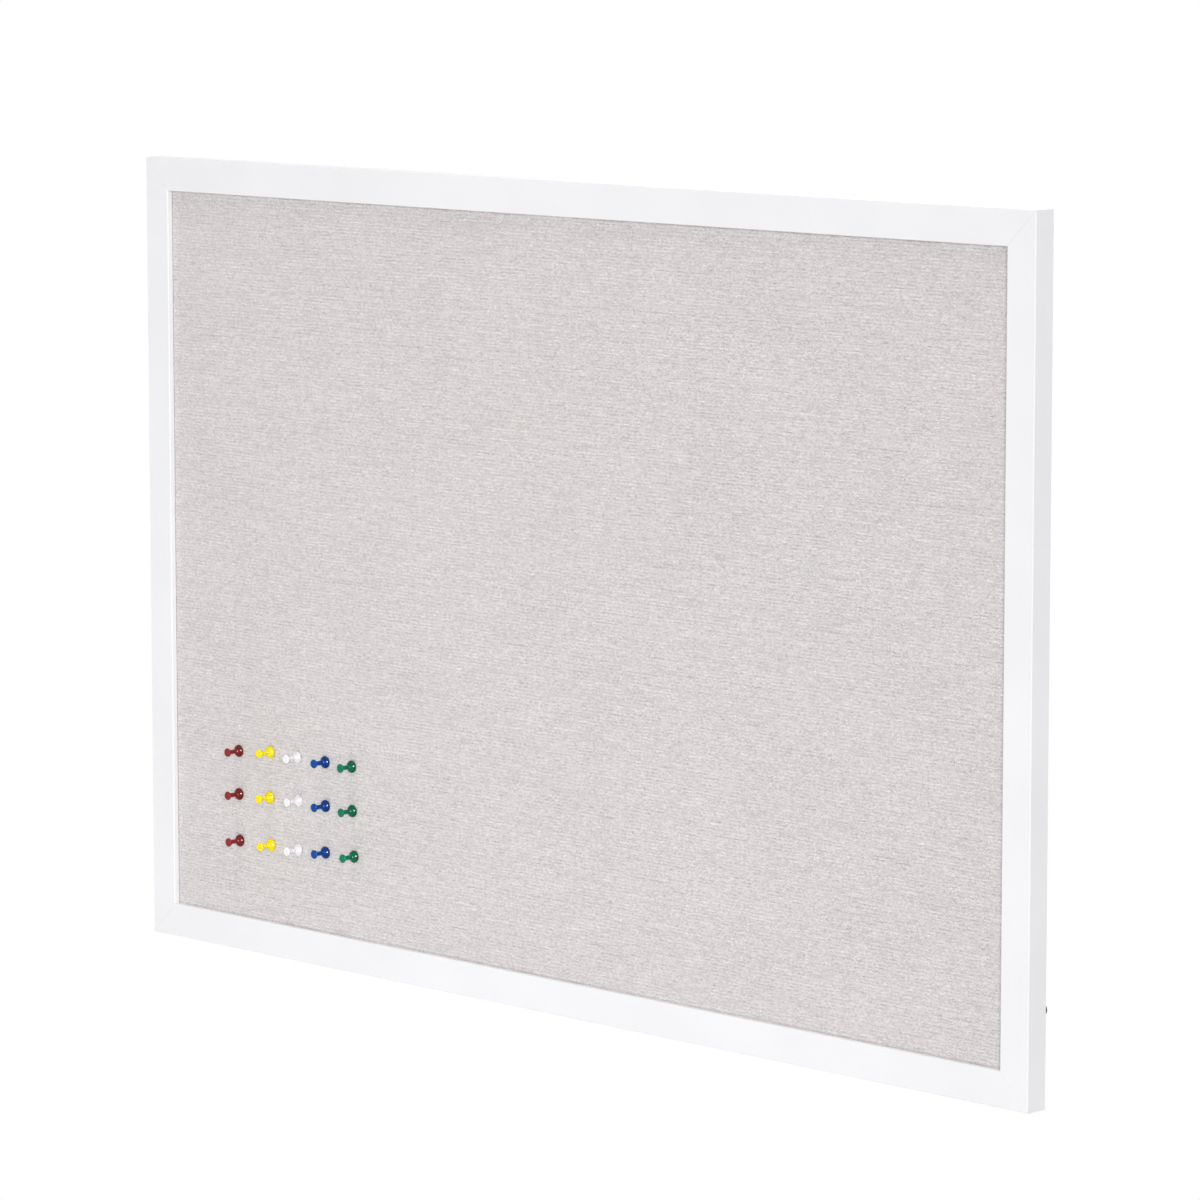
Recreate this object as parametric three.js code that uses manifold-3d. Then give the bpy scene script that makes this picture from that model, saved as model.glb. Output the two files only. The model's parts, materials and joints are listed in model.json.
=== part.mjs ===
// A fabric-faced pin board in a white mitred frame, with push pins in it and hangers on its back.
// Lengths are in millimetres. +X runs to the viewer's right, +Z up, and +Y from the front towards
// the wall. The origin is the centre of the plane that the backs of the four rails share.

import * as THREE from 'three';
import { mergeVertices } from 'three/addons/utils/BufferGeometryUtils.js';
import Module from 'manifold-3d';

// Outer size of the frame
const boardWidth = 914.4;
const boardHeight = 609.6;

// Rail section
const railDepth = 18;
const railFace = 25.4;
const lipCover = 6;
const lipThickness = 4.4;
const frontRound = 0.8;
const rearRound = 0.5;
const mitreGap = 0.1;

// Panel layers, from the front
const shadowGap = 0.5;
const linenThickness = 0.5;
const corkThickness = 3;
const fibreboardThickness = 6.8;
const glueLine = 0.1;
const panelClearance = 0.5;
const linenTurnIn = 28;

// Corner nails, one driven across the back of each mitre
const nailInset = 6;
const nailArm = 6;
const nailSheet = 0.6;
const nailDepth = 10;
const nailSet = 0.4;

// Retaining points that hold the panel in the rabbet
const pointWidth = 7;
const pointLength = 16;
const pointTip = 3;
const pointThickness = 0.5;
const pointDriven = 8;
const longRailPointShares = [-0.33, 0, 0.33];
const shortRailPointShares = [-0.27, 0.27];

// Hangers on the backs of the side rails
const hangerDrop = 110;
const hangerSideInset = 11;
const strapWidth = 9.6;
const strapLength = 24;
const strapThickness = 1.6;
const strapHoleRadius = 1.7;
const barrelRadius = 2;
const barrelBore = 1.2;
const ringWire = 1;
const ringHalfWidth = 7;
const ringLeg = 3;
const ringRestTilt = 6;
const screwDrop = 15.5;
const screwShank = 1.45;
const screwLength = 12;
const screwTip = 3;
const screwHead = 3;
const screwHeadHeight = 1.8;
const crossSlotWidth = 0.7;
const crossSlotLength = 3;
const crossSlotDepth = 1;

// Rubber bumpers low on the backs of the side rails
const bumperRadius = 4.75;
const bumperHeight = 3.8;
const bumperSideInset = 1;
const bumperRise = 68;

// Push pins
const collarRadius = 4.7;
const headLength = 13;
const headStandoff = 0.4;
const needleRadius = 0.55;
const needleReach = 10;
const needleRooted = 5;
const needlePoint = 2.5;

// Where the pins stand, from the lower left corner of the fabric
const pinPitch = 32;
const pinSideInset = 74;
const pinBottomInset = 60.9;

// Fits and cuts
const seatGap = 0.1;
const slotClearance = 0.15;
const needleClearance = 0.08;
const shankClearance = 0.1;
const bottomClearance = 0.3;
const overrun = 1;

// Facets round a turn
const arcSides = 4;
const pinSides = 14;
const needleSides = 8;
const wireSides = 12;
const barrelSides = 20;
const bowSides = 20;

// Pin head's outline in shares of the collar's radius and the head's length, from the collar's foot
// to the knob's face
const headProfileShares = [
  [0.86, 0], [0.97, 0.025], [1, 0.065], [0.97, 0.11], [0.88, 0.16], [0.74, 0.215], [0.57, 0.265],
  [0.42, 0.315], [0.365, 0.38], [0.365, 0.72], [0.42, 0.79], [0.55, 0.85], [0.68, 0.9],
  [0.71, 0.935], [0.68, 0.97], [0.5, 1],
];
// Screw crown's outline in shares of the head's radius and height, from its rim
const screwCrownShares = [[1, 0.25], [0.88, 0.62], [0.6, 0.9], [0, 1]];
// Bumper's outline in shares of its radius and height
const bumperProfileShares = [[1, 0], [1, 0.35], [0.92, 0.68], [0.72, 0.9], [0.4, 1], [0, 1]];

// The pins are pushed in by hand, so each strays from an even grid. Every place is in shares of the
// pitch: across for the columns, up for the rows, and [across, up] for each pin's own stray.
const pinColumns = [
  { colour: 'red', hex: 0x7a1420, acrossShare: 0 },
  { colour: 'yellow', hex: 0xf5e020, acrossShare: 1.14 },
  { colour: 'white', hex: 0xeeeeee, acrossShare: 2.14 },
  { colour: 'blue', hex: 0x0a3f96, acrossShare: 3.13 },
  { colour: 'green', hex: 0x0b7a4c, acrossShare: 4.09 },
];
const pinRows = [
  {
    row: 'top',
    upShare: 2.21,
    strayShares: [[0, -0.075], [0.01, 0.025], [-0.015, 0.01], [0, 0.01], [-0.02, 0.01]],
  },
  {
    row: 'middle',
    upShare: 1.14,
    strayShares: [[-0.005, -0.06], [-0.01, -0.01], [0.015, 0.03], [0, 0.025], [-0.005, 0.02]],
  },
  {
    row: 'bottom',
    upShare: 0,
    strayShares: [[0.01, -0.06], [0.02, -0.025], [0, -0.02], [-0.01, 0.04], [0.045, 0.07]],
  },
];

// Planes across the depth, from the front to the back of the frame at zero
const frontY = -railDepth;
const lipBackY = frontY + lipThickness;
const linenFrontY = lipBackY + shadowGap;
const corkFrontY = linenFrontY + linenThickness + glueLine;
const corkBackY = corkFrontY + corkThickness;
const fibreboardFrontY = corkBackY + glueLine;
const fibreboardBackY = fibreboardFrontY + fibreboardThickness;
const linenBackY = fibreboardBackY + glueLine + linenThickness;
const pointFrontY = linenBackY + seatGap;

// Sizes across the face
const rabbetInset = railFace - lipCover;
const panelWidth = boardWidth - 2 * (rabbetInset + panelClearance);
const panelHeight = boardHeight - 2 * (rabbetInset + panelClearance);
const linenAllowance = linenThickness + glueLine;
const coreWidth = panelWidth - 2 * linenAllowance;
const coreHeight = panelHeight - 2 * linenAllowance;
const backWindowWidth = coreWidth - 2 * linenTurnIn;
const backWindowHeight = coreHeight - 2 * linenTurnIn;
const hangerX = boardWidth / 2 - hangerSideInset;
const hangerZ = boardHeight / 2 - hangerDrop;
const screwSeatY = seatGap + strapThickness + seatGap;

const wasm = await Module();
wasm.setup();

// A closed geometry as a solid that can be joined and cut
function solidOf(geometry) {
  const bare = geometry.clone();
  bare.deleteAttribute('normal');
  bare.deleteAttribute('uv');
  const merged = mergeVertices(bare);
  return new wasm.Manifold(new wasm.Mesh({
    numProp: 3,
    vertProperties: new Float32Array(merged.attributes.position.array),
    triVerts: new Uint32Array(merged.index.array),
  }));
}

// A solid back as flat-shaded triangles
function geometryOf(solid) {
  const mesh = solid.getMesh();
  const indexed = new THREE.BufferGeometry();
  indexed.setAttribute('position', new THREE.BufferAttribute(mesh.vertProperties, mesh.numProp));
  indexed.setIndex(new THREE.BufferAttribute(mesh.triVerts, 1));
  const flat = indexed.toNonIndexed();
  flat.computeVertexNormals();
  return flat;
}

function joined(geometries) {
  return geometries.map(solidOf).reduce((whole, more) => whole.add(more));
}

function cut(solid, geometries) {
  return geometries.map(solidOf).reduce((left, tool) => left.subtract(tool), solid);
}

function finish(colour, roughness, metalness) {
  return new THREE.MeshStandardMaterial({ color: colour, roughness, metalness });
}

function addPiece(group, name, geometry, material) {
  const mesh = new THREE.Mesh(geometry, material);
  mesh.name = name;
  group.add(mesh);
  return mesh;
}

// A box centred across the face, from one depth to another
function slab(width, height, fromY, toY) {
  const box = new THREE.BoxGeometry(width, toY - fromY, height);
  return box.translate(0, (fromY + toY) / 2, 0);
}

// An outline drawn as (X, Z), given a thickness from one depth to another
function plate(outline, fromY, toY) {
  const options = { depth: toY - fromY, bevelEnabled: false, curveSegments: 2 * arcSides };
  return new THREE.ExtrudeGeometry(outline, options).rotateX(Math.PI / 2).translate(0, toY, 0);
}

function outlineOf(corners) {
  return new THREE.Shape(corners.map(([x, z]) => new THREE.Vector2(x, z)));
}

// A round bar along Y from one depth to another, with its axis at (x, z)
function barAlongY(radius, fromY, toY, sides, x, z) {
  const bar = new THREE.CylinderGeometry(radius, radius, toY - fromY, sides);
  return bar.translate(x, (fromY + toY) / 2, z);
}

// A round bar along X through the origin
function barAlongX(radius, length, sides) {
  return new THREE.CylinderGeometry(radius, radius, length, sides).rotateZ(Math.PI / 2);
}

// A turned piece about Y whose profile is given as [radius, depth]
function turned(profile, sides) {
  return new THREE.LatheGeometry(profile.map(([r, y]) => new THREE.Vector2(r, y)), sides);
}

// Where each pin's axis meets the fabric
const pins = pinRows.flatMap(({ row, upShare, strayShares }) => pinColumns.map((column, i) => ({
  name: `${column.colour}_${row}`,
  hex: column.hex,
  x: railFace - boardWidth / 2 + pinSideInset + (column.acrossShare + strayShares[i][0]) * pinPitch,
  z: railFace - boardHeight / 2 + pinBottomInset + (upShare + strayShares[i][1]) * pinPitch,
})));

// Rails. Each is made lying along its own X with its outer edge at z = 0 and its sight edge below,
// and its group turns it into its side of the frame. Its group also holds its retaining points and
// the corner nail at its +X end.

function railSection() {
  const sightEdge = railFace - frontRound;
  const frontCentreY = frontY + frontRound;
  const section = new THREE.Shape();
  section.moveTo(0, -rearRound);
  section.absarc(rearRound, -rearRound, rearRound, Math.PI, Math.PI / 2, true);
  section.lineTo(rabbetInset, 0);
  section.lineTo(rabbetInset, lipBackY);
  section.lineTo(railFace, lipBackY);
  section.lineTo(railFace, frontCentreY);
  section.absarc(sightEdge, frontCentreY, frontRound, 0, -Math.PI / 2, true);
  section.lineTo(frontRound, frontY);
  section.absarc(frontRound, frontCentreY, frontRound, -Math.PI / 2, -Math.PI, true);
  return section;
}

function railBar(length) {
  const options = { depth: length, bevelEnabled: false, curveSegments: arcSides };
  const bar = new THREE.ExtrudeGeometry(railSection(), options);
  return bar.rotateY(Math.PI / 2).translate(-length / 2, 0, 0);
}

// What a rail keeps between its two mitres, each set back by half the gap between the rails
function mitrePlan(length) {
  const outerEnd = length / 2 - mitreGap / Math.SQRT2 + overrun;
  const innerEnd = outerEnd - overrun - railFace - overrun;
  const inner = -railFace - overrun;
  const corners = [[-outerEnd, overrun], [outerEnd, overrun], [innerEnd, inner], [-innerEnd, inner]];
  return plate(outlineOf(corners), frontY - overrun, overrun);
}

// The nail's L outline, with its corner towards the frame's corner and an arm along each rail
function nailOutline(length, end, grow) {
  const x = length / 2 - nailInset;
  const half = nailSheet / 2 + grow;
  const reach = nailArm + grow;
  const corners = [
    [x + half, -nailInset + half], [x - reach, -nailInset + half], [x - reach, -nailInset - half],
    [x - half, -nailInset - half], [x - half, -nailInset - reach], [x + half, -nailInset - reach],
  ];
  return outlineOf(corners.map(([cornerX, z]) => [end * cornerX, z]));
}

function cornerNail(length) {
  return plate(nailOutline(length, 1, 0), -nailSet - nailDepth, -nailSet);
}

function nailPocket(length, end) {
  return plate(nailOutline(length, end, slotClearance), -nailSet - nailDepth - slotClearance, overrun);
}

// A strip with a pointed end driven into the rail above the panel's back
function retainingPoint(x) {
  const half = pointWidth / 2;
  const tipZ = -rabbetInset + pointDriven;
  const tailZ = tipZ - pointLength;
  const corners = [
    [x - half, tailZ], [x + half, tailZ], [x + half, tipZ - pointTip], [x, tipZ],
    [x - half, tipZ - pointTip],
  ];
  return plate(outlineOf(corners), pointFrontY, pointFrontY + pointThickness);
}

function pointSlot(x) {
  const depth = pointDriven + slotClearance;
  const slot = new THREE.BoxGeometry(
    pointWidth + 2 * slotClearance, pointThickness + 2 * slotClearance, depth + overrun);
  const z = -rabbetInset + (depth - overrun) / 2;
  return slot.translate(x, pointFrontY + pointThickness / 2, z);
}

function screwPilot(x) {
  const bottomY = screwSeatY - screwLength - bottomClearance;
  const radius = screwShank + shankClearance;
  return barAlongY(radius, bottomY, overrun, barrelSides, x, -hangerSideInset);
}

const whitePaint = 0xf3f3f5;
const rails = [
  { side: 'top', length: boardWidth, x: 0, z: boardHeight / 2, turn: 0, nail: 'top_right' },
  { side: 'right', length: boardHeight, x: boardWidth / 2, z: 0, turn: 1, nail: 'bottom_right' },
  { side: 'bottom', length: boardWidth, x: 0, z: -boardHeight / 2, turn: 2, nail: 'bottom_left' },
  { side: 'left', length: boardHeight, x: -boardWidth / 2, z: 0, turn: 3, nail: 'top_left' },
];

function addRail(board, { side, length, x, z, turn, nail }) {
  const group = new THREE.Group();
  const upright = turn % 2 === 1;
  const pointShares = upright ? shortRailPointShares : longRailPointShares;
  const pointPlaces = pointShares.map((share) => share * length);
  const tools = [nailPocket(length, -1), nailPocket(length, 1), ...pointPlaces.map(pointSlot)];
  if (upright) {
    const screwZ = hangerZ - screwDrop;
    tools.push(screwPilot(side === 'left' ? screwZ : -screwZ));
  }
  const bar = solidOf(railBar(length)).intersect(solidOf(mitrePlan(length)));
  addPiece(group, `rail_${side}`, geometryOf(cut(bar, tools)), finish(whitePaint, 0.45, 0));
  pointPlaces.forEach((place, i) => {
    const name = `retaining_point_${side}_${i + 1}`;
    addPiece(group, name, retainingPoint(place), finish(0xa9adb2, 0.35, 0.9));
  });
  addPiece(group, `corner_nail_${nail}`, cornerNail(length), finish(0x8f9398, 0.4, 0.9));
  group.rotation.y = turn * Math.PI / 2;
  group.position.set(x, 0, z);
  board.add(group);
}

// Panel: fibreboard faced with cork, with linen stretched over it and turned in on its back

function needleHoles(fromY, toY) {
  const radius = needleRadius + needleClearance;
  return pins.map(({ x, z }) => barAlongY(radius, fromY, toY, needleSides, x, z));
}

function addPanel(board) {
  const linenBlank = solidOf(slab(panelWidth, panelHeight, linenFrontY, linenBackY));
  const linenCover = cut(linenBlank, [
    slab(coreWidth + 2 * glueLine, coreHeight + 2 * glueLine,
      corkFrontY - glueLine, fibreboardBackY + glueLine),
    slab(backWindowWidth, backWindowHeight, fibreboardBackY, linenBackY + overrun),
    ...needleHoles(linenFrontY - overrun, corkFrontY),
  ]);
  addPiece(board, 'linen_cover', geometryOf(linenCover), finish(0xd6d1d0, 0.95, 0));

  const corkBlank = solidOf(slab(coreWidth, coreHeight, corkFrontY, corkBackY));
  const corkSheet = cut(corkBlank, needleHoles(corkFrontY - overrun, corkBackY + overrun));
  addPiece(board, 'cork_sheet', geometryOf(corkSheet), finish(0xb98a5a, 0.9, 0));

  const holeBottomY = linenFrontY - headStandoff + needleReach + bottomClearance;
  const boardBlank = solidOf(slab(coreWidth, coreHeight, fibreboardFrontY, fibreboardBackY));
  const fibreboard = cut(boardBlank, needleHoles(fibreboardFrontY - overrun, holeBottomY));
  addPiece(board, 'fibreboard_backing', geometryOf(fibreboard), finish(0x9c8467, 0.9, 0));
}

// Push pins: a moulded head that narrows between its collar and its knob, and a steel needle

function pinHead() {
  const bore = needleRadius + needleClearance;
  const boreEnd = -needleRooted - seatGap;
  const skin = headProfileShares.map(([r, y]) => [r * collarRadius, -y * headLength]);
  return turned([[0, -headLength], ...skin.reverse(), [bore, 0], [bore, boreEnd], [0, boreEnd]], pinSides);
}

function pinNeedle() {
  const profile = [
    [0, -needleRooted], [needleRadius, -needleRooted], [needleRadius, needleReach - needlePoint],
    [0, needleReach],
  ];
  return turned(profile, needleSides);
}

function addPin(board, { name, hex, x, z }) {
  const group = new THREE.Group();
  addPiece(group, `pin_head_${name}`, pinHead(), finish(hex, 0.25, 0));
  addPiece(group, `pin_needle_${name}`, pinNeedle(), finish(0xc9ccd1, 0.2, 1));
  group.position.set(x, linenFrontY - headStandoff, z);
  board.add(group);
}

// Hangers: a folded strap screwed to the rail, with a D-shaped ring that swings in its fold

function hangerStrap() {
  const half = strapWidth / 2;
  const roundZ = half - strapLength;
  const outline = new THREE.Shape();
  outline.moveTo(-half, 0);
  outline.lineTo(-half, roundZ);
  outline.absarc(0, roundZ, half, Math.PI, 2 * Math.PI, false);
  outline.lineTo(half, 0);
  const barrelY = seatGap + barrelRadius;
  const folded = joined([
    plate(outline, seatGap, seatGap + strapThickness),
    barAlongX(barrelRadius, strapWidth, barrelSides).translate(0, barrelY, 0),
  ]);
  return geometryOf(cut(folded, [
    barAlongX(barrelBore, strapWidth + 2 * overrun, barrelSides).translate(0, barrelY, 0),
    barAlongY(strapHoleRadius, seatGap - overrun, seatGap + strapThickness + overrun, barrelSides,
      0, -screwDrop),
  ]));
}

function hangerRing() {
  const bow = new THREE.TorusGeometry(ringHalfWidth, ringWire, wireSides, 2 * bowSides);
  const reach = ringHalfWidth + ringWire + overrun;
  const lowerHalf = new THREE.BoxGeometry(2 * reach, 2 * reach, reach).translate(0, 0, -reach / 2);
  const halfBow = solidOf(bow.rotateX(Math.PI / 2)).intersect(solidOf(lowerHalf));
  const wires = [barAlongX(ringWire, 2 * ringHalfWidth, wireSides).translate(0, 0, ringLeg)];
  for (const x of [-ringHalfWidth, ringHalfWidth]) {
    const leg = new THREE.CylinderGeometry(ringWire, ringWire, ringLeg, wireSides);
    wires.push(leg.rotateX(Math.PI / 2).translate(x, 0, ringLeg / 2));
    wires.push(new THREE.SphereGeometry(ringWire, wireSides, wireSides / 2).translate(x, 0, ringLeg));
  }
  return geometryOf(halfBow.add(joined(wires))).translate(0, 0, -ringLeg);
}

function hangerScrew() {
  const crown = screwCrownShares.map(([r, y]) => [r * screwHead, y * screwHeadHeight]);
  const body = turned([
    [0, -screwLength], [screwShank, screwTip - screwLength], [screwShank, 0], [screwHead, 0], ...crown,
  ], barrelSides);
  const slotY = screwHeadHeight - crossSlotDepth / 2 + overrun / 2;
  const slotHeight = crossSlotDepth + overrun;
  return geometryOf(cut(solidOf(body), [
    new THREE.BoxGeometry(crossSlotLength, slotHeight, crossSlotWidth).translate(0, slotY, 0),
    new THREE.BoxGeometry(crossSlotWidth, slotHeight, crossSlotLength).translate(0, slotY, 0),
  ]));
}

function addHanger(board, side, x) {
  const group = new THREE.Group();
  const steel = 0xb4b8bd;
  addPiece(group, `hanger_strap_${side}`, hangerStrap(), finish(steel, 0.3, 0.9));
  const ring = addPiece(group, `hanger_ring_${side}`, hangerRing(), finish(steel, 0.25, 0.9));
  ring.position.y = seatGap + barrelRadius;
  ring.rotation.x = THREE.MathUtils.degToRad(ringRestTilt);
  const screw = addPiece(group, `hanger_screw_${side}`, hangerScrew(), finish(steel, 0.3, 0.9));
  screw.position.set(0, screwSeatY, -screwDrop);
  group.position.set(x, 0, hangerZ);
  board.add(group);
}

// Rubber bumpers that keep the lower edge off the wall

function addBumper(board, side, x) {
  const skin = bumperProfileShares.map(([r, y]) => [r * bumperRadius, y * bumperHeight]);
  const bumper = addPiece(board, `bumper_${side}`, turned([[0, 0], ...skin], barrelSides),
    finish(0x1c1c1e, 0.8, 0));
  bumper.position.set(x, seatGap, bumperRise - boardHeight / 2);
}

const board = new THREE.Group();
rails.forEach((rail) => addRail(board, rail));
addPanel(board);
pins.forEach((pin) => addPin(board, pin));
const bumperX = boardWidth / 2 - bumperSideInset - bumperRadius;
for (const [side, direction] of [['left', -1], ['right', 1]]) {
  addHanger(board, side, direction * hangerX);
  addBumper(board, side, direction * bumperX);
}

export default board;
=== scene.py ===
"""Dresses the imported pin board: stretched linen, painted rails, push pins and the fittings on its back.

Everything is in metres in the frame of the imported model. +X is the viewer's right, +Z is up, and the
board's face looks along -Y.
"""

import json
import math

import bmesh
import bpy
import numpy as np
from bpy.types import Operator, Panel, PropertyGroup
from mathutils import Euler, Matrix, Vector

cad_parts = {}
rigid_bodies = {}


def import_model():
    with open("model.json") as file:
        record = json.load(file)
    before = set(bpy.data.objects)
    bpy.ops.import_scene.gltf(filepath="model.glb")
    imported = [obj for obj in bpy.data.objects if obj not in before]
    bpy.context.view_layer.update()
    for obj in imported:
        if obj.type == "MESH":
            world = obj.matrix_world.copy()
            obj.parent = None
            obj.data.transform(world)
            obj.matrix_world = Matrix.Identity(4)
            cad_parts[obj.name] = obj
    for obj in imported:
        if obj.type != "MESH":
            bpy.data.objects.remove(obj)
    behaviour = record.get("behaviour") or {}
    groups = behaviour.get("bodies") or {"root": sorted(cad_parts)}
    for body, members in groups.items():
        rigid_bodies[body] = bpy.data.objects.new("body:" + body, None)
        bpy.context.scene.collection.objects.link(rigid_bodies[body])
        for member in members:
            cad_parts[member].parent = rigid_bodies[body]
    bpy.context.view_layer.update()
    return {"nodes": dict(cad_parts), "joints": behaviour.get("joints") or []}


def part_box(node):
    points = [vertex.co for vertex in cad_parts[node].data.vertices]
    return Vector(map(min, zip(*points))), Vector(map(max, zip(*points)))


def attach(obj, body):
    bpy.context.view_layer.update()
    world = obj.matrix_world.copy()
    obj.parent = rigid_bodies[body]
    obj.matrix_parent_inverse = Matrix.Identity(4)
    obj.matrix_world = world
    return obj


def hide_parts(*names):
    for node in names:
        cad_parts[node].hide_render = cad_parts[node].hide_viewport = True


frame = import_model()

bl_info = {
    "name": "Pin Board Dresser",
    "version": (1, 0, 0),
    "blender": (4, 5, 0),
    "location": "3D View > Sidebar > Pin Board",
    "description": "Stretches the linen, paints the rails and finishes the fittings of a pin board",
    "category": "Object",
}

MM = 0.001
ROOT_BODY = "board"
SIDES = ("left", "right")
PIN_COLOURS = ("red", "yellow", "white", "blue", "green")
WHITE = (1, 1, 1, 1)

# The collection of the pieces that the glint lamp shines on
MOULDED = "moulded_heads"

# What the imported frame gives
LINEN_LOW, LINEN_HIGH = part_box("linen_cover")
RING_PIVOTS = {
    joint["name"].rsplit("_", 1)[1]: Vector(joint["pos_m"])
    for joint in frame["joints"]
    if joint["name"].startswith("swing_ring_")
}


def from_screen(*levels):
    """Screen levels from 0 to 255 as the linear numbers that shaders use."""
    return tuple(((level / 255 + 0.055) / 1.055) ** 2.4 for level in levels)


def opaque(colour):
    """A colour of three numbers with full alpha added."""
    return (*colour[:3], 1.0)


def toned(colour, factor):
    """A colour made that many times as bright, up to full."""
    return tuple(min(1.0, factor * part) for part in colour)


# Shader maths


def operator_pair(operation):
    """A Python operator that adds one Math node, and its reflected form, as in 1 - mask."""

    def plain(value, other):
        return value.shading.maths(operation, value, other)

    def reflected(value, other):
        return value.shading.maths(operation, other, value)

    return plain, reflected


class Value:
    """A shader socket that Python's operators work on."""

    __add__, __radd__ = operator_pair("ADD")
    __sub__, __rsub__ = operator_pair("SUBTRACT")
    __mul__, __rmul__ = operator_pair("MULTIPLY")
    __truediv__, __rtruediv__ = operator_pair("DIVIDE")

    def __init__(self, shading, socket):
        self.shading = shading
        self.socket = socket


class Shading:
    """The nodes of a material or world. One method adds any node, the others patterns of them."""

    def __init__(self, owner):
        owner.use_nodes = True
        self.owner = owner
        self.tree = owner.node_tree

    def add(self, kind, settings=None, sockets=None, out=0):
        """Adds a node: its settings first, then its sockets' values or links. Returns one output."""
        node = self.tree.nodes.new(kind)
        for name, value in (settings or {}).items():
            setattr(node, name, value)
        for key, value in (sockets or {}).items():
            self.feed(node.inputs[key], value)
        return Value(self, node.outputs[out])

    def feed(self, socket, value):
        """Links a value to a socket, or sets a plain number or colour on it."""
        if isinstance(value, Value):
            self.tree.links.new(value.socket, socket)
        else:
            socket.default_value = value

    def maths(self, operation, *values):
        """The result of one Math node."""
        return self.add("ShaderNodeMath", {"operation": operation}, dict(enumerate(values)))

    def wave(self, turns):
        """A cosine that goes once from 1 to -1 and back for each whole turn."""
        return self.maths("COSINE", turns * math.tau)

    def step(self, value, start, end):
        """0 below start, 1 above end and a smooth rise between."""
        sockets = {"Value": value, "From Min": start, "From Max": end}
        return self.add("ShaderNodeMapRange", {"interpolation_type": "SMOOTHSTEP"}, sockets)

    def blend(self, share, first, second):
        """The colour between first and second at that share."""
        ends = [end if isinstance(end, Value) else opaque(end) for end in (first, second)]
        settings = {"data_type": "RGBA", "clamp_factor": True}
        return self.add("ShaderNodeMix", settings, {0: share, 6: ends[0], 7: ends[1]}, out=2)

    def solid_place(self):
        """The point in the frame, which is each object's own place."""
        return self.add("ShaderNodeTexCoord", out="Object")

    def placed(self, place, size, turn=0, start=(0, 0, 0)):
        """The place measured in cells, turned about Y by an angle in degrees and started from a point.
        The size in metres is one number or one for each axis."""
        scale = size if isinstance(size, tuple) else (size,) * 3
        rotation = (0, math.radians(turn), 0)
        sockets = {"Vector": place, "Location": start, "Rotation": rotation, "Scale": scale}
        return self.add("ShaderNodeMapping", {"vector_type": "TEXTURE"}, sockets)

    def noise(self, place, size, detail=1.0, turn=0, start=(0, 0, 0), curl=0.0):
        """Smooth random tone, mostly 0.2 to 0.8, with blobs of about that size."""
        cells = self.placed(place, size, turn, start)
        sockets = {"Vector": cells, "Scale": 1.0, "Detail": detail, "Distortion": curl}
        return self.add("ShaderNodeTexNoise", {}, sockets)

    def along(self, run, number, size, detail, start):
        """Random tone along a yarn, in stretches of about that size. Each numbered yarn has its own."""
        place = self.add("ShaderNodeCombineXYZ", {}, {"X": run / size, "Y": number * 7.31, "Z": start})
        return self.add("ShaderNodeTexNoise", {}, {"Vector": place, "Scale": 1.0, "Detail": detail})

    def grains(self, place, size):
        """Voronoi cells of about that size, as the distance to the nearest edge."""
        sockets = {"Vector": self.placed(place, size), "Scale": 1.0}
        return self.add("ShaderNodeTexVoronoi", {"feature": "DISTANCE_TO_EDGE"}, sockets)

    def bump(self, height, depth):
        """A surface normal that follows a height of 0 to 1 over that depth in metres."""
        return self.add("ShaderNodeBump", {}, {"Height": height, "Distance": depth})


def finish(shading, colour, roughness, normal, **constants):
    """Feeds a material's Principled shader. Constants go straight onto the shader's own sockets."""
    sockets = shading.tree.nodes["Principled BSDF"].inputs
    for name, value in (("Base Color", colour), ("Roughness", roughness), ("Normal", normal)):
        shading.feed(sockets[name], value)
    for name, value in constants.items():
        sockets[name.replace("_", " ")].default_value = value
    return shading.owner


def new_shading(name):
    """The nodes of a new material."""
    return Shading(bpy.data.materials.new(name))


# Surfaces


def smooth_line(points, steps):
    """A curve through the points: between two of them, the cubic whose slope at each end is half the
    step from the point before to the point after. The first and last point count twice."""
    points = np.asarray(points, float)
    padded = np.vstack([points[:1], points, points[-1:]])[:, None, :]
    before, start, end, after = padded[:-3], padded[1:-2], padded[2:-1], padded[3:]
    t = (np.arange(steps) / steps)[None, :, None]
    spans = 0.5 * (
        2 * start
        + (end - before) * t
        + (2 * before - 5 * start + 4 * end - after) * t**2
        + (3 * start - before - 3 * end + after) * t**3
    )
    return np.vstack([spans.reshape(-1, points.shape[1]), points[-1:]])


def arc(centre, radius, start, end, steps):
    """Points on a circle: centre plus radius times (cosine, sine), from start to end in degrees."""
    angle = np.radians(np.linspace(start, end, steps))
    return np.stack([centre[0] + radius * np.cos(angle), centre[1] + radius * np.sin(angle)], axis=1)


def round_angles(sides):
    """Equal steps once round a circle, as one row."""
    return np.linspace(0, math.tau, sides, endpoint=False)[None, :]


def grid_faces(rows, columns, closed_rows, closed_columns):
    """Corner numbers of the quads of a grid, whose last row or column may join its first."""
    row = np.arange(rows if closed_rows else rows - 1)[:, None]
    column = np.arange(columns if closed_columns else columns - 1)[None, :]
    next_row = (row + 1) % rows
    next_column = (column + 1) % columns
    corners = [
        row * columns + column, row * columns + next_column,
        next_row * columns + next_column, next_row * columns + column,
    ]
    return np.stack(corners, axis=-1).reshape(-1, 4)


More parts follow.
